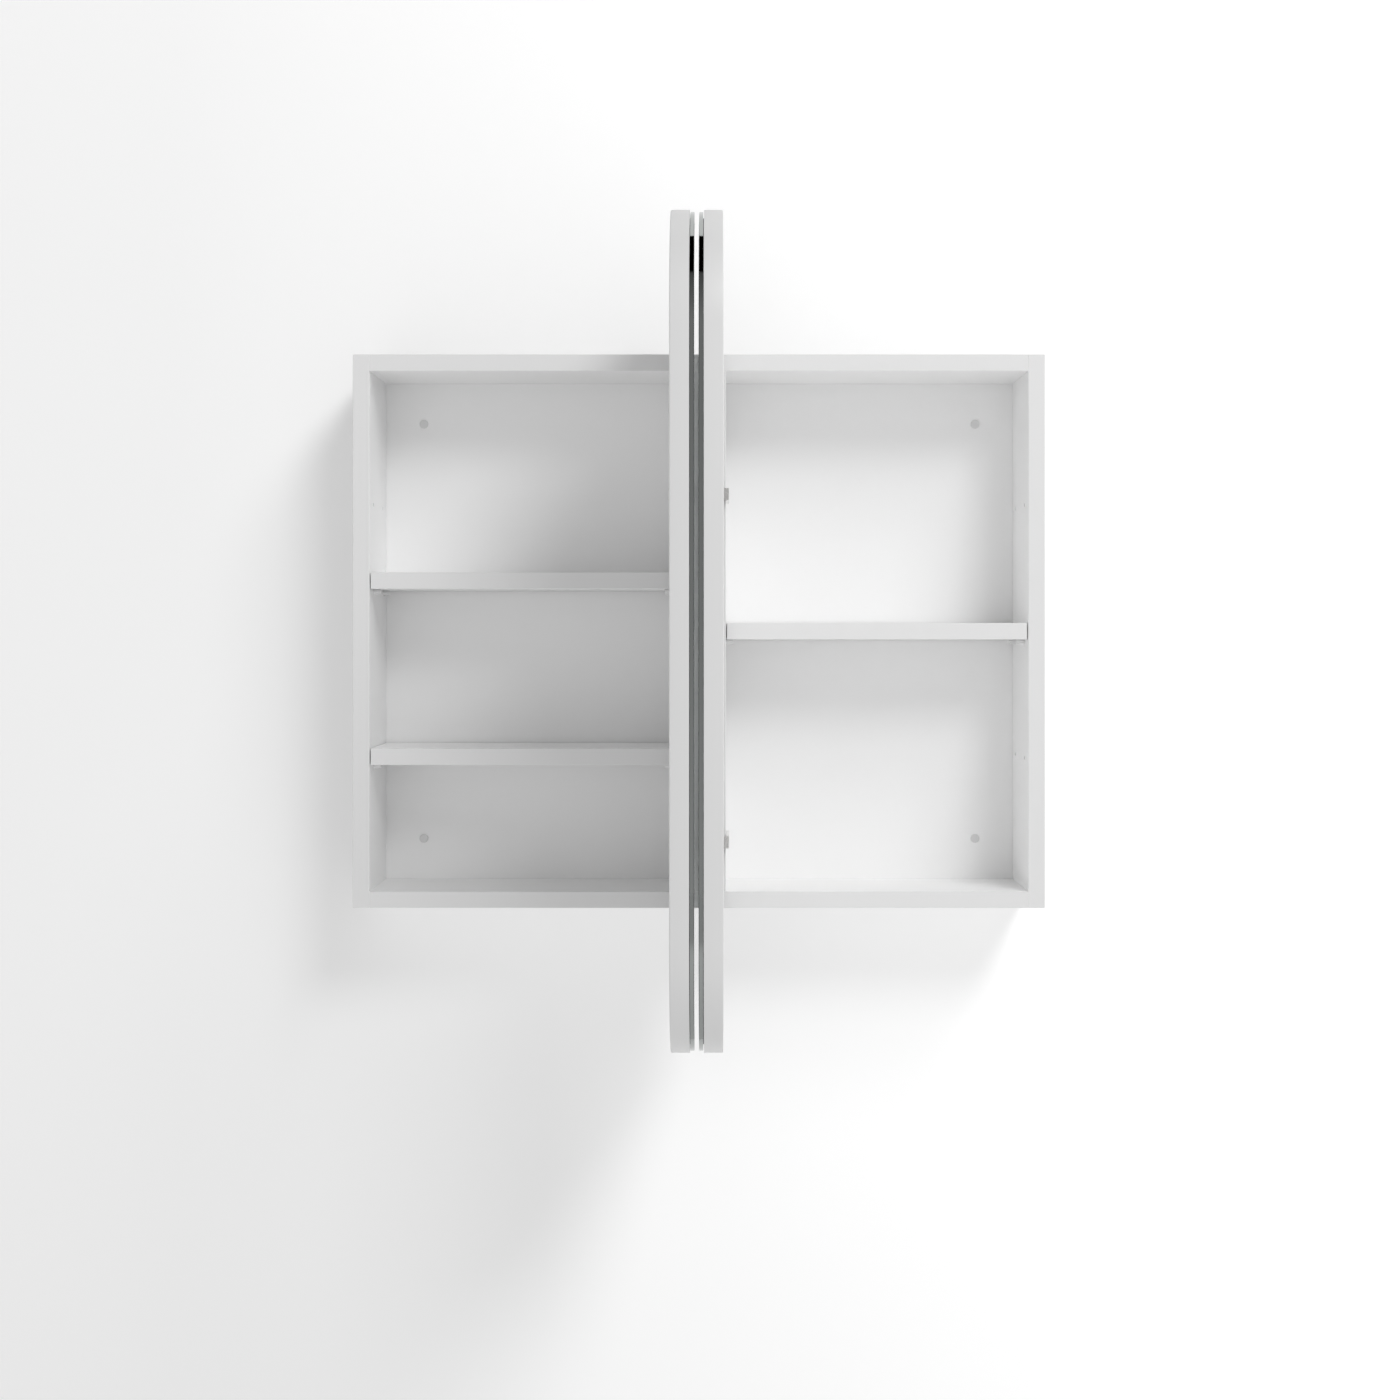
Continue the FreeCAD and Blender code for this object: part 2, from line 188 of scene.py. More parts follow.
def make_surface_ripple():
    """Height of a sprayed or moulded skin: a soft ripple and a fine grain."""
    group, source, target, mapping = start_group(
        "surface_ripple",
        [("Ripple Scale", "NodeSocketFloat", 420.0), ("Grain Scale", "NodeSocketFloat", 2600.0),
         ("Grain Share", "NodeSocketFloat", 0.25)],
        [("Height", "NodeSocketFloat")])
    ripple = add_node(group, "ShaderNodeTexNoise", Detail=1.0, Roughness=0.4)
    grain = add_node(group, "ShaderNodeTexNoise", Detail=2.0, Roughness=0.6)
    for texture, label in ((ripple, "Ripple Scale"), (grain, "Grain Scale")):
        wire(group, mapping.outputs["Vector"], texture.inputs["Vector"])
        wire(group, source.outputs[label], texture.inputs["Scale"])
    fine = add_math(group, "MULTIPLY", grain.outputs["Fac"], source.outputs["Grain Share"])
    wire(group, add_math(group, "ADD", ripple.outputs["Fac"], fine), target.inputs["Height"])
    return group


def make_tone_drift():
    """Slow change of tone over a part, with a few cloudy patches."""
    group, source, target, mapping = start_group(
        "tone_drift",
        [("Color", "NodeSocketColor", (0.8, 0.8, 0.8, 1.0)), ("Amount", "NodeSocketFloat", 0.03),
         ("Scale", "NodeSocketFloat", 3.0)],
        [("Color", "NodeSocketColor"), ("Mask", "NodeSocketFloat")])
    cloud = add_node(group, "ShaderNodeTexNoise", Detail=3.0, Roughness=0.55, Distortion=0.3)
    wire(group, mapping.outputs["Vector"], cloud.inputs["Vector"])
    wire(group, source.outputs["Scale"], cloud.inputs["Scale"])
    centred = add_math(group, "SUBTRACT", cloud.outputs["Fac"], 0.5)
    change = add_math(group, "MULTIPLY", centred, source.outputs["Amount"])
    gain = add_math(group, "ADD", change, 1.0)
    scale = group.nodes.new("ShaderNodeVectorMath")
    scale.operation = "SCALE"
    wire(group, source.outputs["Color"], scale.inputs["Vector"])
    wire(group, gain, scale.inputs["Scale"])
    wire(group, scale.outputs["Vector"], target.inputs["Color"])
    wire(group, cloud.outputs["Fac"], target.inputs["Mask"])
    return group


def make_dust_film():
    """Dust that settles on faces that look up, broken up by fine noise."""
    group, source, target, mapping = start_group(
        "dust_film",
        [("Color", "NodeSocketColor", (0.8, 0.8, 0.8, 1.0)),
         ("Dust", "NodeSocketColor", (0.72, 0.71, 0.69, 1.0)),
         ("Amount", "NodeSocketFloat", 0.2), ("Scale", "NodeSocketFloat", 60.0)],
        [("Color", "NodeSocketColor"), ("Mask", "NodeSocketFloat")])
    facing = group.nodes.new("ShaderNodeNewGeometry")
    split = group.nodes.new("ShaderNodeSeparateXYZ")
    wire(group, facing.outputs["Normal"], split.inputs["Vector"])
    speck = add_node(group, "ShaderNodeTexNoise", Detail=4.0, Roughness=0.7)
    wire(group, mapping.outputs["Vector"], speck.inputs["Vector"])
    wire(group, source.outputs["Scale"], speck.inputs["Scale"])
    upward = add_math(group, "MAXIMUM", split.outputs["Z"], 0.0)
    strength = add_math(group, "MULTIPLY", upward, source.outputs["Amount"])
    mask = add_math(group, "MULTIPLY", strength, speck.outputs["Fac"])
    mixed = mix_colours(group, mask, source.outputs["Color"], source.outputs["Dust"])
    wire(group, mixed, target.inputs["Color"])
    wire(group, mask, target.inputs["Mask"])
    return group


def make_edge_shade_band():
    """Painted shade: a greyer colour on faces that look along an axis of the piece, or on all
    others.
    """
    group, source, target, _ = start_group(
        "edge_band",
        [("Color", "NodeSocketColor", (0.8, 0.8, 0.8, 1.0)),
         ("Band", "NodeSocketColor", (0.7, 0.7, 0.7, 1.0)),
         ("Axis", "NodeSocketVector", (0.0, 1.0, 0.0)), ("Other Faces", "NodeSocketFloat", 0.0)],
        [("Color", "NodeSocketColor")])
    facing = group.nodes.new("ShaderNodeTexCoord")
    along = group.nodes.new("ShaderNodeVectorMath")
    along.operation = "DOT_PRODUCT"
    wire(group, facing.outputs["Normal"], along.inputs[0])
    wire(group, source.outputs["Axis"], along.inputs[1])
    size = add_math(group, "ABSOLUTE", along.outputs["Value"], 0.0)
    mask = add_math(group, "GREATER_THAN", size, FACES_THE_AXIS)
    other = source.outputs["Other Faces"]
    shaded_faces = add_math(group, "ABSOLUTE", add_math(group, "SUBTRACT", mask, other), 0.0)
    mixed = mix_colours(group, shaded_faces, source.outputs["Color"], source.outputs["Band"])
    wire(group, mixed, target.inputs["Color"])
    return group


surface_ripple = make_surface_ripple()
tone_drift = make_tone_drift()
dust_film = make_dust_film()
edge_band = make_edge_shade_band()
print("shared effects:", [g.name for g in bpy.data.node_groups])

# %% [markdown]
# ## White satin lacquer
# Most of the cabinet is board with a sprayed white satin coat.  It could be one plain
# white, but then large faces look like paper.  The coat here drifts by a hundredth or so in
# tone, its gloss changes a little with the same cloud, dust dulls the faces that look up,
# and a very shallow ripple breaks up the reflections of the lights.  The front edges of the
# carcass and the edges of the doors get painted shade, a greyer white, which is told from
# the faces by the direction that they look in.

# %% Lacquer


def use_group(tree, group, **inputs):
    """Place a shared group in a material and set its inputs by name."""
    node = tree.nodes.new("ShaderNodeGroup")
    node.node_tree = group
    for name, value in inputs.items():
        node.inputs[name.replace("_", " ")].default_value = value
    return node


def add_relief(tree, shader, height, depth):
    """Feed a height into the shader's normal; depth is in metres."""
    bump = add_node(tree, "ShaderNodeBump", Strength=1.0, Distance=depth)
    wire(tree, height, bump.inputs["Height"])
    wire(tree, bump.outputs["Normal"], shader.inputs["Normal"])


def vary_roughness(tree, shader, mask, low, high):
    """Let a mask between 0 and 1 move the roughness between two values."""
    span = tree.nodes.new("ShaderNodeMapRange")
    span.inputs["To Min"].default_value = low
    span.inputs["To Max"].default_value = high
    wire(tree, mask, span.inputs["Value"])
    wire(tree, span.outputs["Result"], shader.inputs["Roughness"])


BOARD_TONE = (0.95, 0.95, 0.95)
# Painted shade: the front edges of the carcass and the edges of the doors get a greyer white
# than the faces.
FRONT_EDGE_SHADE_TONE = (0.80, 0.80, 0.80)
DOOR_EDGE_SHADE_TONE = (0.74, 0.74, 0.74)
FRONT_EDGE_SHADE = (FRONT_EDGE_SHADE_TONE, (0.0, 1.0, 0.0), 0.0)
DOOR_EDGE_SHADE = (DOOR_EDGE_SHADE_TONE, (1.0, 0.0, 0.0), 1.0)
TONE_DRIFT = 0.02
DRIFT_SCALE = 3.5
DUST_SCALE = 70.0
ORANGE_PEEL_SCALE = 420.0
SPRAY_GRAIN_SCALE = 2600.0


def sprayed_lacquer(name, dust, gloss, ripple_depth, edge_shade=None):
    """White coat on board: dust amount, gloss range, ripple depth in metres.

    The last argument holds the grey of the painted shade on the edges, the axis that it is
    judged by, and 1 if the shade is on the faces that do not look along that axis."""
    material, tree, shader = start_material(name, BOARD_TONE, gloss[0], IOR=1.5)
    shader.inputs["Specular IOR Level"].default_value = 0.4
    cloud = use_group(tree, tone_drift, Color=(*BOARD_TONE, 1.0), Amount=TONE_DRIFT,
                      Scale=DRIFT_SCALE)
    film = use_group(tree, dust_film, Amount=dust, Scale=DUST_SCALE)
    last = cloud
    # Painted shade: a greyer white on the edges, laid over the coat's drifting tone.
    if edge_shade:
        grey, axis, others = edge_shade
        last = use_group(tree, edge_band, Band=(*grey, 1.0), Axis=axis, Other_Faces=others)
        wire(tree, cloud.outputs["Color"], last.inputs["Color"])
    wire(tree, last.outputs["Color"], film.inputs["Color"])
    wire(tree, film.outputs["Color"], shader.inputs["Base Color"])
    vary_roughness(tree, shader, cloud.outputs["Mask"], *gloss)
    skin = use_group(tree, surface_ripple, Ripple_Scale=ORANGE_PEEL_SCALE,
                     Grain_Scale=SPRAY_GRAIN_SCALE)
    add_relief(tree, shader, skin.outputs["Height"], ripple_depth)
    return material


board_lacquer = sprayed_lacquer("board_lacquer", 0.10, (0.34, 0.46), 2.0e-5, FRONT_EDGE_SHADE)
back_lacquer = sprayed_lacquer("back_lacquer", 0.0, (0.42, 0.55), 3.0e-5)
door_lacquer = sprayed_lacquer("door_lacquer", 0.05, (0.30, 0.40), 2.0e-5, DOOR_EDGE_SHADE)
print("lacquers:", board_lacquer.name, back_lacquer.name, door_lacquer.name)

# %% [markdown]
# ## Mirror, its polished edge and the film behind it
# A mirror is glass with silver on its back.  Real glass over silver would work, but it
# needs many light bounces, and the glass is clean and thin, so a metal with almost no
# roughness gives the same picture.  A faint haze from wiping keeps it from being perfect.
# The ground and polished edge is darker and a little duller, with fine lines along it.
# The film that glues the glass to the board is soft, dark grey and matt.
#
# Between the two open mirrors light is thrown to and fro more often than a render follows
# it, and the divider behind that gap would turn out too dark.  So the silver answers with a
# glow of its own, but only to light that has been mirrored three times on its way to a board.

# %% Mirror finishes


def streaked(tree, stretch, scale, detail=2.0):
    """Noise drawn out along one axis, as brushing or polishing leaves it."""
    place = tree.nodes.new("ShaderNodeTexCoord")
    mapping = tree.nodes.new("ShaderNodeMapping")
    mapping.inputs["Scale"].default_value = stretch
    texture = add_node(tree, "ShaderNodeTexNoise", Scale=scale, Detail=detail)
    wire(tree, place.outputs["Object"], mapping.inputs["Vector"])
    wire(tree, mapping.outputs["Vector"], texture.inputs["Vector"])
    return texture.outputs["Fac"]


LAST_REFLECTION = 2.5          # between the second and the third reflection
ANY_BOARD = 0.5                # between no and one scattering on a matt surface
DEEP_GLOW = 0.85               # what would still come from deeper reflections


def silvered_glass():
    """Silver with a wiping haze, and the glow that stands for deep reflections."""
    tone = (0.90, 0.915, 0.91)
    material, tree, shader = start_material("mirror_silver", tone, 0.01, 1.0)
    haze = use_group(tree, tone_drift, Color=(*tone, 1.0), Amount=0.02, Scale=9.0)
    wire(tree, haze.outputs["Color"], shader.inputs["Base Color"])
    vary_roughness(tree, shader, haze.outputs["Mask"], 0.0, 0.03)
    path = tree.nodes.new("ShaderNodeLightPath")
    late = add_math(tree, "GREATER_THAN", path.outputs["Glossy Depth"], LAST_REFLECTION)
    lights_a_board = add_math(tree, "GREATER_THAN", path.outputs["Diffuse Depth"], ANY_BOARD)
    deep = add_math(tree, "MULTIPLY", late, lights_a_board)
    rest_of_light = add_math(tree, "MULTIPLY", deep, DEEP_GLOW)
    wire(tree, rest_of_light, shader.inputs["Emission Color"])
    shader.inputs["Emission Strength"].default_value = 1.0
    return material


def polished_edge():
    """The ground and polished rim of the glass, streaked along its length."""
    tone = (0.36, 0.375, 0.37)
    material, tree, shader = start_material("mirror_edge", tone, 0.06, 1.0)
    cloud = use_group(tree, tone_drift, Color=(*tone, 1.0), Amount=0.08, Scale=40.0)
    wire(tree, cloud.outputs["Color"], shader.inputs["Base Color"])
    lines = streaked(tree, (1.0, 0.04, 0.04), 1500.0)
    vary_roughness(tree, shader, lines, 0.02, 0.06)
    add_relief(tree, shader, lines, 2.0e-6)
    return material


def soft_film():
    """The dark matt mounting film between the board and the glass."""
    tone = (0.16, 0.165, 0.17)
    material, tree, shader = start_material("mirror_film", tone, 0.7)
    cloud = use_group(tree, tone_drift, Color=(*tone, 1.0), Amount=0.15, Scale=60.0)
    wire(tree, cloud.outputs["Color"], shader.inputs["Base Color"])
    vary_roughness(tree, shader, cloud.outputs["Mask"], 0.6, 0.85)
    skin = use_group(tree, surface_ripple, Ripple_Scale=1200.0, Grain_Scale=5000.0)
    add_relief(tree, shader, skin.outputs["Height"], 5.0e-5)
    return material


mirror_silver = silvered_glass()
mirror_edge = polished_edge()
mirror_film = soft_film()
print("mirror finishes:", mirror_silver.name, mirror_edge.name, mirror_film.name)

# %% [markdown]
# ## Steel, plastic and beech
# The hinges are pressed steel with a nickel coat: bright, but softened by the fine lines
# that pressing leaves.  Pins, caps and spacers are moulded plastic with a fine eroded
# texture from the mould.  The dowels inside the joints are plain beech, whose grain is
# noise drawn out along the length of the dowel.

# %% Fittings finishes


def nickel_steel(name, tone, rough, line_depth):
    """Plated steel with fine lines: tone, roughness range, line depth in metres."""
    material, tree, shader = start_material(name, tone, rough[0], 1.0)
    cloud = use_group(tree, tone_drift, Color=(*tone, 1.0), Amount=0.12, Scale=120.0)
    wire(tree, cloud.outputs["Color"], shader.inputs["Base Color"])
    lines = streaked(tree, (1.0, 1.0, 0.06), 2400.0, 3.0)
    vary_roughness(tree, shader, lines, *rough)
    add_relief(tree, shader, lines, line_depth)
    return material


def moulded_plastic(name, tone, rough, dust):
    """Plastic with an eroded skin: tone, roughness range, amount of dust."""
    material, tree, shader = start_material(name, tone, rough[0], IOR=1.46)
    cloud = use_group(tree, tone_drift, Color=(*tone, 1.0), Amount=0.05, Scale=90.0)
    film = use_group(tree, dust_film, Amount=dust, Scale=300.0)
    wire(tree, cloud.outputs["Color"], film.inputs["Color"])
    wire(tree, film.outputs["Color"], shader.inputs["Base Color"])
    vary_roughness(tree, shader, cloud.outputs["Mask"], *rough)
    skin = use_group(tree, surface_ripple, Ripple_Scale=900.0, Grain_Scale=4500.0,
                     Grain_Share=0.6)
    add_relief(tree, shader, skin.outputs["Height"], 3.0e-5)
    return material


def plain_beech(name, stretch):
    """Beech whose grain is drawn out where the stretch is small."""
    material, tree, shader = start_material(name, (0.60, 0.42, 0.26), 0.55)
    grain = streaked(tree, stretch, 700.0, 4.0)
    colour = mix_colours(tree, grain, (0.52, 0.34, 0.19), (0.72, 0.55, 0.37))
    wire(tree, colour, shader.inputs["Base Color"])
    vary_roughness(tree, shader, grain, 0.45, 0.65)
    add_relief(tree, shader, grain, 6.0e-5)
    return material


hinge_nickel = nickel_steel("hinge_nickel", (0.80, 0.79, 0.78), (0.20, 0.36), 6.0e-6)
screw_zinc = nickel_steel("screw_zinc", (0.72, 0.72, 0.71), (0.25, 0.42), 8.0e-6)
pin_plastic = moulded_plastic("pin_plastic", (0.84, 0.84, 0.84), (0.25, 0.40), 0.1)
cap_plastic = moulded_plastic("cap_plastic", (0.74, 0.74, 0.74), (0.40, 0.55), 0.1)
spacer_plastic = moulded_plastic("spacer_plastic", (0.62, 0.62, 0.61), (0.45, 0.60), 0.1)
dowel_beech_across = plain_beech("dowel_beech_across", (0.05, 1.0, 1.0))
dowel_beech_upright = plain_beech("dowel_beech_upright", (1.0, 1.0, 0.05))
print("materials so far:", len(bpy.data.materials))

# %% [markdown]
# ## Dressing the measured parts
# Most of the measured parts already have the right shape, so they stay and only get a
# finish.  The names of the parts say what they are, so a short list of beginnings of names
# is enough to find the finish of each one: the first line that fits counts, and the empty
# beginning at the end takes every board that is left.

# %% Finishes on the measured parts
FINISH_OF_PART = (
    ("corner_dowels", dowel_beech_across),
    ("upright_dowels", dowel_beech_upright),
    ("back_panel", back_lacquer),
    ("door_board", door_lacquer),
    ("mirror_glue", mirror_film),
    ("mirror", mirror_silver),
    ("hinge_arm_screws", screw_zinc),
    ("hinge_cup_screws", screw_zinc),
    ("hinge_pin", screw_zinc),
    ("hinge", hinge_nickel),
    ("shelf_pins", pin_plastic),
    ("fixing_caps", cap_plastic),
    ("wall_spacers", spacer_plastic),
    ("", board_lacquer),
)


def dress(part):
    """Give every material slot of a measured part its finish."""
    finish = next(entry for start, entry in FINISH_OF_PART if part.name.startswith(start))
    if not part.data.materials:
        part.data.materials.append(finish)
    for index in range(len(part.data.materials)):
        part.data.materials[index] = finish
    return finish.name


dressed = {name: dress(part) for name, part in nodes.items()}
print("dressed", len(dressed), "parts with", len(set(dressed.values())), "finishes")

# %% [markdown]
# ## The doors
# A door is a white board with a mirror glued to its outer face.  Its hinge edge is square
# and its two outer corners are round, with a radius of 120 mm.  The measured corners are
# made of short straight steps, which show in the gloss.  So each plate is modelled again:
# a cube is scaled to the plate, the two corner edges are bevelled with many segments, and
# then the long rim gets its own small round or arris.

# %% Plates with round corners
CORNER_STEPS = 40
NEAR = 1e-6                    # closer than this counts as the same place
LOOKS_SIDEWAYS = 0.5           # below this share of X, a face is not a plate's flat face


def plate_with_round_corners(low, high, radius):
    """A box whose two edges on the free side (-Y) are rounded, as a bmesh."""
    form = bmesh.new()
    middle = (low + high) / 2
    size = high - low
    placed = Matrix.Translation(middle) @ Matrix.Diagonal((*size, 1.0))
    bmesh.ops.create_cube(form, size=1.0, matrix=placed)
    corners = [
        edge for edge in form.edges
        if all(abs(vert.co.y - low.y) < NEAR for vert in edge.verts)
        and abs(edge.verts[0].co.x - edge.verts[1].co.x) > NEAR
    ]
    bmesh.ops.bevel(form, geom=corners, offset=radius, offset_type="OFFSET",
                    segments=CORNER_STEPS, profile=0.5, affect="EDGES", material=-1)
    return form


def rim_edges(form, x):
    """The outline of the face that lies on the plane of that X."""
    return [
        edge for edge in form.edges
        if all(abs(vert.co.x - x) < NEAR for vert in edge.verts)
        and any(abs(face.normal.x) < LOOKS_SIDEWAYS for face in edge.link_faces)
    ]


def soften_rim(form, x, size, steps):
    """Bevel the outline of the face on that X."""
    bmesh.ops.bevel(form, geom=rim_edges(form, x), offset=size, offset_type="OFFSET",
                    segments=steps, profile=0.5, affect="EDGES", material=-1)


print("a round corner takes", CORNER_STEPS, "steps of", 90.0 / CORNER_STEPS, "degrees")

# %% [markdown]
# ## From a shape to a piece
# A finished shape becomes one object.  It rides on the body that carries it, so that it
# turns with its door, it names the slot for its finish, and it stands in for the measured
# parts that it replaces.  Shading runs smoothly over round edges and breaks at sharp ones.

# %% Finished pieces
SMOOTH_BELOW = math.radians(40.0)


def finish_piece(form, name, finishes, body, replaced):
    """Turn a bmesh into an object that rides on a body and stands for a part."""
    mesh = bpy.data.meshes.new(name)
    form.to_mesh(mesh)
    form.free()
    for finish in finishes:
        mesh.materials.append(finish)
    mesh.shade_smooth()
    mesh.set_sharp_from_angle(angle=SMOOTH_BELOW)
    piece = bpy.data.objects.new(name, mesh)
    bpy.context.scene.collection.objects.link(piece)
    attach(piece, body)
    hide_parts(replaced)
    return piece


print("edges sharper than", round(math.degrees(SMOOTH_BELOW)), "degrees stay sharp")

# %% [markdown]
# ## Pockets for the hinge cups
# Each cup is let into the back of its door.  A milled pocket could be cut with a solid, but
# the pocket is a plain rectangle, so it is enough to cut the back face along the pocket's
# four sides and to push the patch between them into the board.  The cups' own boxes say
# where: the ears of a cup lie flat on the board, above and below its pocket.

# %% Hinge pockets
CUP_EAR = 0.0075               # ears of a cup, above and below its pocket
CUP_LIP = 0.0005               # the ears' plate past the pocket, away from the hinge edge
ACROSS_Y, ACROSS_Z = 1, 2


def cut_square(form, axis, place):
    """Cut the whole form by a plane across one axis, keeping both halves."""
    normal = Vector((0.0, 0.0, 0.0))
    normal[axis] = 1.0
    everything = form.verts[:] + form.edges[:] + form.faces[:]
    bmesh.ops.bisect_plane(form, geom=everything, dist=NEAR, plane_co=normal * place,
                           plane_no=normal)


def sink_pocket(form, side, face_x, part):
    """Push a rectangle of the board's back face in, as deep as the hinge cup."""
    low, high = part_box(part)
    y0, y1 = low.y + CUP_LIP, high.y
    z0, z1 = low.z + CUP_EAR, high.z - CUP_EAR
    for axis, place in ((ACROSS_Y, y0), (ACROSS_Y, y1), (ACROSS_Z, z0), (ACROSS_Z, z1)):
        cut_square(form, axis, place)
    middle = Vector((face_x, (y0 + y1) / 2, (z0 + z1) / 2))
    on_back = [face for face in form.faces if abs(face.calc_center_median().x - face_x) < NEAR]
    patch = min(on_back, key=lambda face: (face.calc_center_median() - middle).length)
    floor_x = low.x if side > 0 else high.x
    pushed = bmesh.ops.extrude_discrete_faces(form, faces=[patch])
    for vert in pushed["faces"][0].verts:
        vert.co.x = floor_x
    print("pocket", part, "depth mm", round(abs(face_x - floor_x) * 1000, 2))


print("a cup's ear is", round(CUP_EAR * 1000, 2), "mm high")

# %% [markdown]
# ## Board, film and glass of each door
# A door is laid up as in a workshop: the board first, with its long edges rounded over and
# its hinge pockets sunk, then the mounting film, and the mirror glass on top with a fine
# ground arris.  Film and glass are a little smaller than the board all round, so their
# corner radius is smaller by the same amount and the outlines run parallel.

# %% Doors
DOOR_CORNER = 0.120
BOARD_RIM = 0.0012
RIM_STEPS = 4
GLASS_ARRIS = 0.0005
ARRIS_STEPS = 1
SIDES = (("left", -1.0), ("right", 1.0))
FLAT_FACE = 0.99               # a face of the glass that looks along X carries the silver


def parallel_corner(side_name, high):
    """The corner radius of a plate that lies inside the board's outline."""
    return DOOR_CORNER - (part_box("door_board_" + side_name)[1].z - high.z)


def make_board(side_name, side, body):
    part = "door_board_" + side_name
    low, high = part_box(part)
    back_x = high.x if side > 0 else low.x
    form = plate_with_round_corners(low, high, DOOR_CORNER)
    soften_rim(form, back_x, BOARD_RIM, RIM_STEPS)
    for level in ("lower", "upper"):
        sink_pocket(form, side, back_x, "hinge_cup_" + side_name + "_" + level)
    bmesh.ops.recalc_face_normals(form, faces=form.faces[:])
    return finish_piece(form, "door_panel_" + side_name, [door_lacquer], body,
                        part)


def make_film(side_name, body):
    part = "mirror_glue_" + side_name
    low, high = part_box(part)
    form = plate_with_round_corners(low, high, parallel_corner(side_name, high))
    return finish_piece(form, "film_" + side_name, [mirror_film], body, part)


def make_glass(side_name, side, body):
    part = "mirror_" + side_name
    low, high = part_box(part)
    form = plate_with_round_corners(low, high, parallel_corner(side_name, high))
    soften_rim(form, low.x if side > 0 else high.x, GLASS_ARRIS, ARRIS_STEPS)
    for face in form.faces:
        face.material_index = 0 if abs(face.normal.x) > FLAT_FACE else 1
    return finish_piece(form, "mirror_pane_" + side_name, [mirror_silver, mirror_edge], body,
                        part)


for side_name, side in SIDES:
    body = "door_" + side_name
    made = (make_board(side_name, side, body), make_film(side_name, body),
            make_glass(side_name, side, body))
    print(body, "carries", [piece.name for piece in made])

# %% [markdown]
# ## Snap-in caps over the wall screws
# Four little caps close the holes where the cabinet is screwed to the wall.  On a real cap
# the head is a flat dome with a soft rim, and a short hollow plug behind it grips the hole.
# A round bar with its front rim bevelled in many steps gives the head, and a thin tube
# behind it gives the plug.  The places come from the measured caps' box: they stand at its
# four corners.

# %% Hole caps
CAP_RADIUS = 0.005
CAP_HEAD = 0.0012
CAP_DOME = 0.0006
PLUG_RADIUS = 0.00405
PLUG_WALL = 0.0012
ROUND_STEPS = 64
DOME_STEPS = 6


def bar_along_y(form, x, z, y_front, y_back, radius):
    """A closed round bar between two places on Y; returns its vertices."""
    middle = Matrix.Translation((x, (y_front + y_back) / 2, z))
    turned = middle @ Matrix.Rotation(QUARTER_TURN, 4, "X")
    made = bmesh.ops.create_cone(form, cap_ends=True, cap_tris=False, segments=ROUND_STEPS,
                                 radius1=radius, radius2=radius, depth=y_back - y_front,
                                 matrix=turned)
    return made["verts"]


def end_face(verts, y):
    """The flat end of a bar that lies on the plane of that Y."""
    faces = {face for vert in verts for face in vert.link_faces}
    return next(face for face in faces if all(abs(v.co.y - y) < NEAR for v in face.verts))


def add_cap(form, x, z, front, plug_end):
    """One cap: a domed head, and a plug whose open end is sunk in."""
    head = bar_along_y(form, x, z, front, front + CAP_HEAD, CAP_RADIUS)
    rim = list(end_face(head, front).edges)
    plug = bar_along_y(form, x, z, front + CAP_HEAD, plug_end, PLUG_RADIUS)
    mouth = end_face(plug, plug_end)
    bmesh.ops.inset_individual(form, faces=[mouth], thickness=PLUG_WALL)
    pushed = bmesh.ops.extrude_discrete_faces(form, faces=[mouth])
    for vert in pushed["faces"][0].verts:
        vert.co.y = front + CAP_HEAD
    bmesh.ops.bevel(form, geom=rim, offset=CAP_DOME, offset_type="OFFSET",
                    segments=DOME_STEPS, profile=0.5, affect="EDGES", material=-1)


low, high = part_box("fixing_caps")
caps_form = bmesh.new()
for x in (low.x + CAP_RADIUS, high.x - CAP_RADIUS):
    for z in (low.z + CAP_RADIUS, high.z - CAP_RADIUS):
        add_cap(caps_form, x, z, low.y, high.y)
bmesh.ops.recalc_face_normals(caps_form, faces=caps_form.faces[:])
caps = finish_piece(caps_form, "hole_caps", [cap_plastic], "cabinet",
                    "fixing_caps")
print("caps:", len(caps.data.polygons), "faces in four caps")

# %% [markdown]
# ## Wall and floor
# The cabinet hangs on a plain white wall, so a large plane stands just behind it, with a
# pale floor well below.  Both show only their front side, so that the back of the cabinet
# can be looked at through the wall.  Neither throws a shadow or colour on the cabinet.  A
# studio lights its backdrop apart from the subject; here the paint glows a little instead,
# and the wall more so towards the right.

# %% Wall and floor
STAGE_REACH = 4.0              # half the width of the wall and of the floor
FLOOR_BELOW = 1.25
WALL_TOP = 4.2
WALL_GAP = 0.0002              # between the cabinet's back and the wall
GLOW_SPAN = 0.6                # half the width over which the glow changes
WALL_GLOW = (0.06, 0.24)       # on the left and on the right
FLOOR_GLOW = (0.2, 0.2)


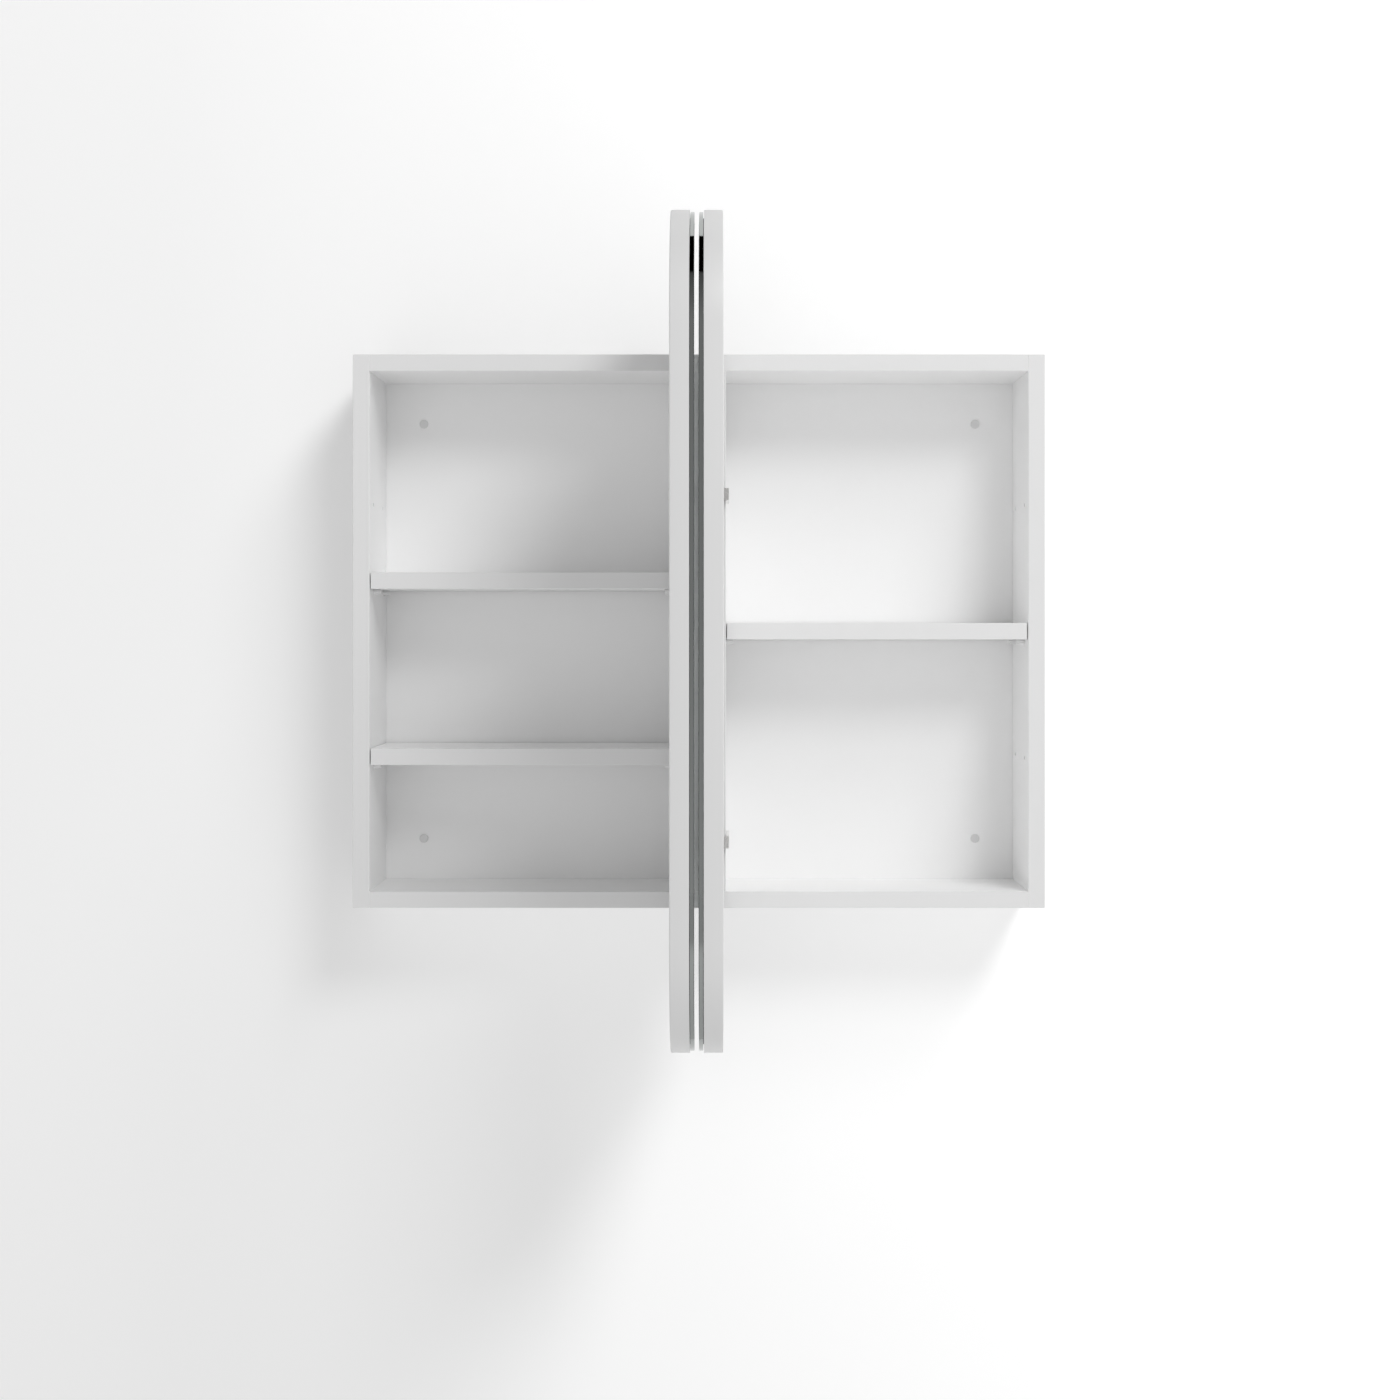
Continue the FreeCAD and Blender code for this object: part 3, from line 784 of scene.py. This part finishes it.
def one_sided_paint(name, tone, glow_left, glow_right):
    """Matt paint that is see-through from behind and glows faintly, from left to right."""
    material, tree, shader = start_material(name, tone, 0.9)
    cloud = use_group(tree, tone_drift, Color=(*tone, 1.0), Amount=0.01, Scale=1.2)
    wire(tree, cloud.outputs["Color"], shader.inputs["Base Color"])
    shader.inputs["Specular IOR Level"].default_value = 0.1
    place = tree.nodes.new("ShaderNodeTexCoord")
    split = tree.nodes.new("ShaderNodeSeparateXYZ")
    wire(tree, place.outputs["Object"], split.inputs["Vector"])
    glow = tree.nodes.new("ShaderNodeMapRange")
    for label, value in (("From Min", -GLOW_SPAN), ("From Max", GLOW_SPAN),
                         ("To Min", glow_left), ("To Max", glow_right)):
        glow.inputs[label].default_value = value
    wire(tree, split.outputs["X"], glow.inputs["Value"])
    wire(tree, glow.outputs["Result"], shader.inputs["Emission Color"])
    shader.inputs["Emission Strength"].default_value = 1.0
    clear = tree.nodes.new("ShaderNodeBsdfTransparent")
    choose = tree.nodes.new("ShaderNodeMixShader")
    facing = tree.nodes.new("ShaderNodeNewGeometry")
    output = tree.nodes["Material Output"]
    wire(tree, facing.outputs["Backfacing"], choose.inputs["Fac"])
    wire(tree, shader.outputs["BSDF"], choose.inputs[1])
    wire(tree, clear.outputs["BSDF"], choose.inputs[2])
    wire(tree, choose.outputs["Shader"], output.inputs["Surface"])
    return material


def stage_plane(name, matrix, material):
    """A large plane that is scenery and not part of the cabinet."""
    form = bmesh.new()
    bmesh.ops.create_grid(form, x_segments=1, y_segments=1, size=1.0, matrix=matrix)
    mesh = bpy.data.meshes.new(name)
    form.to_mesh(mesh)
    form.free()
    mesh.materials.append(material)
    plane = bpy.data.objects.new(name, mesh)
    bpy.context.scene.collection.objects.link(plane)
    return plane


wall_paint = one_sided_paint("wall_paint", (0.95, 0.95, 0.95), *WALL_GLOW)
floor_paint = one_sided_paint("floor_paint", (0.85, 0.85, 0.85), *FLOOR_GLOW)
upright_turn = Matrix.Rotation(QUARTER_TURN, 4, "X")
wall_half_height = (WALL_TOP + FLOOR_BELOW) / 2
wall_size = Matrix.Diagonal((STAGE_REACH, wall_half_height, 1.0, 1.0))
wall_middle = Matrix.Translation((0.0, WALL_GAP, wall_half_height - FLOOR_BELOW))
wall_place = wall_middle @ upright_turn @ wall_size
floor_middle = Matrix.Translation((0.0, WALL_GAP - STAGE_REACH, -FLOOR_BELOW))
floor_place = floor_middle @ Matrix.Diagonal((STAGE_REACH, STAGE_REACH, 1.0, 1.0))
wall = stage_plane("wall", wall_place, wall_paint)
floor = stage_plane("floor", floor_place, floor_paint)
for plane in (wall, floor):
    plane.visible_shadow = False
    plane.visible_diffuse = False
print("wall faces", [round(v, 2) for v in wall.data.polygons[0].normal])

# %% [markdown]
# ## Lamps and surroundings
# One big lamp would give one clean shadow, but a studio usually has more than one.  Three
# round soft lamps stand high on the right, five metres off, so that each edge throws a
# layered, soft shadow down and to the left, and the light hardly weakens from one side of
# the cabinet to the other.  The rest is the room itself: an even light, and a little more
# of it from both sides, from the front and from the pale floor.

# %% Lamps
LAMP_DISTANCE = 5.0
LAMP_AIM = Vector((0.0, -0.2, 0.0))
LAMPS = (               # name, degrees to the right, degrees up, size in metres, watts
    ("lamp_middle", 24.0, 35.0, 1.5, 58.0),
    ("lamp_right", 42.0, 45.0, 1.6, 36.0),
    ("lamp_high", 42.0, 52.0, 1.6, 22.0),
)


def way_to(right, up):
    """The direction from the cabinet towards a lamp, from two angles in degrees."""
    turn, lift = math.radians(right), math.radians(up)
    level = math.cos(lift)
    return Vector((math.sin(turn) * level, -math.cos(turn) * level, math.sin(lift)))


for lamp_name, right, up, size, watts in LAMPS:
    lamp_data = bpy.data.lights.new(lamp_name, "AREA")
    lamp_data.shape = "DISK"
    lamp_data.size = size
    lamp_data.energy = watts
    lamp = bpy.data.objects.new(lamp_name, lamp_data)
    way = way_to(right, up)
    lamp.location = LAMP_AIM + way * LAMP_DISTANCE
    lamp.rotation_euler = way.to_track_quat("Z", "Y").to_euler()
    bpy.context.scene.collection.objects.link(lamp)
    print(lamp_name, [round(v, 2) for v in lamp.location])

# %% [markdown]
# ## A room for the light, and a studio for the reflections
# The world is built from *lobes*: the light from one side is strongest in one direction
# and fades away from it, which is a dot product raised to a power.  Polished glass and
# metal would look lifeless with such a pale room, so rays that have been mirrored see
# another world: a pale studio that gets greyer upwards, and a black ceiling.

# %% World
EVEN_LIGHT = 0.18
ROOM_LOBES = (          # direction, sharpness, strength
    (Vector((1.0, -0.3, 0.0)), 1.5, 0.36),
    (Vector((-1.0, -0.3, 0.0)), 1.5, 0.31),
    (Vector((0.0, -0.3, -1.0)), 1.5, 0.69),
    (Vector((0.0, -1.0, 0.0)), 8.0, 0.45),
)
STUDIO_BANDS = (        # height of the sky direction, 0 down to 1 up, and its grey
    (0.00, 0.85), (0.30, 0.80), (0.42, 0.55), (0.50, 0.40), (0.60, 0.33), (0.90, 0.13),
    (0.910, 0.0), (1.00, 0.0))

world = bpy.data.worlds.new("studio")
bpy.context.scene.world = world
world.use_nodes = True
tree = world.node_tree
room = tree.nodes["Background"]
studio = tree.nodes.new("ShaderNodeBackground")
sky = tree.nodes.new("ShaderNodeTexCoord").outputs["Generated"]


def lobe_strength(tree, sky, direction, sharpness, strength):
    """Light that is strongest in one direction and fades away from it."""
    along = tree.nodes.new("ShaderNodeVectorMath")
    along.operation = "DOT_PRODUCT"
    along.inputs[1].default_value = direction.normalized()
    wire(tree, sky, along.inputs[0])
    forward = add_math(tree, "MAXIMUM", along.outputs["Value"], 0.0)
    shaped = add_math(tree, "POWER", forward, sharpness)
    return add_math(tree, "MULTIPLY", shaped, strength)


total = EVEN_LIGHT
for lobe in ROOM_LOBES:
    total = add_math(tree, "ADD", lobe_strength(tree, sky, *lobe), total)
wire(tree, total, room.inputs["Strength"])
room.inputs["Color"].default_value = (1.0, 1.0, 1.0, 1.0)

split = tree.nodes.new("ShaderNodeSeparateXYZ")
wire(tree, sky, split.inputs["Vector"])
half_height = add_math(tree, "MULTIPLY", split.outputs["Z"], 0.5)
bands = tree.nodes.new("ShaderNodeValToRGB")
wire(tree, add_math(tree, "ADD", half_height, 0.5), bands.inputs["Fac"])
while len(bands.color_ramp.elements) < len(STUDIO_BANDS):
    bands.color_ramp.elements.new(0.5)
for stop, (place, grey) in zip(bands.color_ramp.elements, STUDIO_BANDS):
    stop.position = place
    stop.color = (grey, grey, grey, 1.0)
wire(tree, bands.outputs["Color"], studio.inputs["Color"])

rays = tree.nodes.new("ShaderNodeLightPath")
choose = tree.nodes.new("ShaderNodeMixShader")
wire(tree, rays.outputs["Is Glossy Ray"], choose.inputs["Fac"])
wire(tree, room.outputs["Background"], choose.inputs[1])
wire(tree, studio.outputs["Background"], choose.inputs[2])
wire(tree, choose.outputs["Shader"], tree.nodes["World Output"].inputs["Surface"])
print("room lobes:", len(ROOM_LOBES), "studio bands:", len(STUDIO_BANDS))

# %% [markdown]
# ## Picture settings
# The plain display transform keeps the whites white.

# %% Finish
bpy.context.scene.view_settings.view_transform = "Standard"
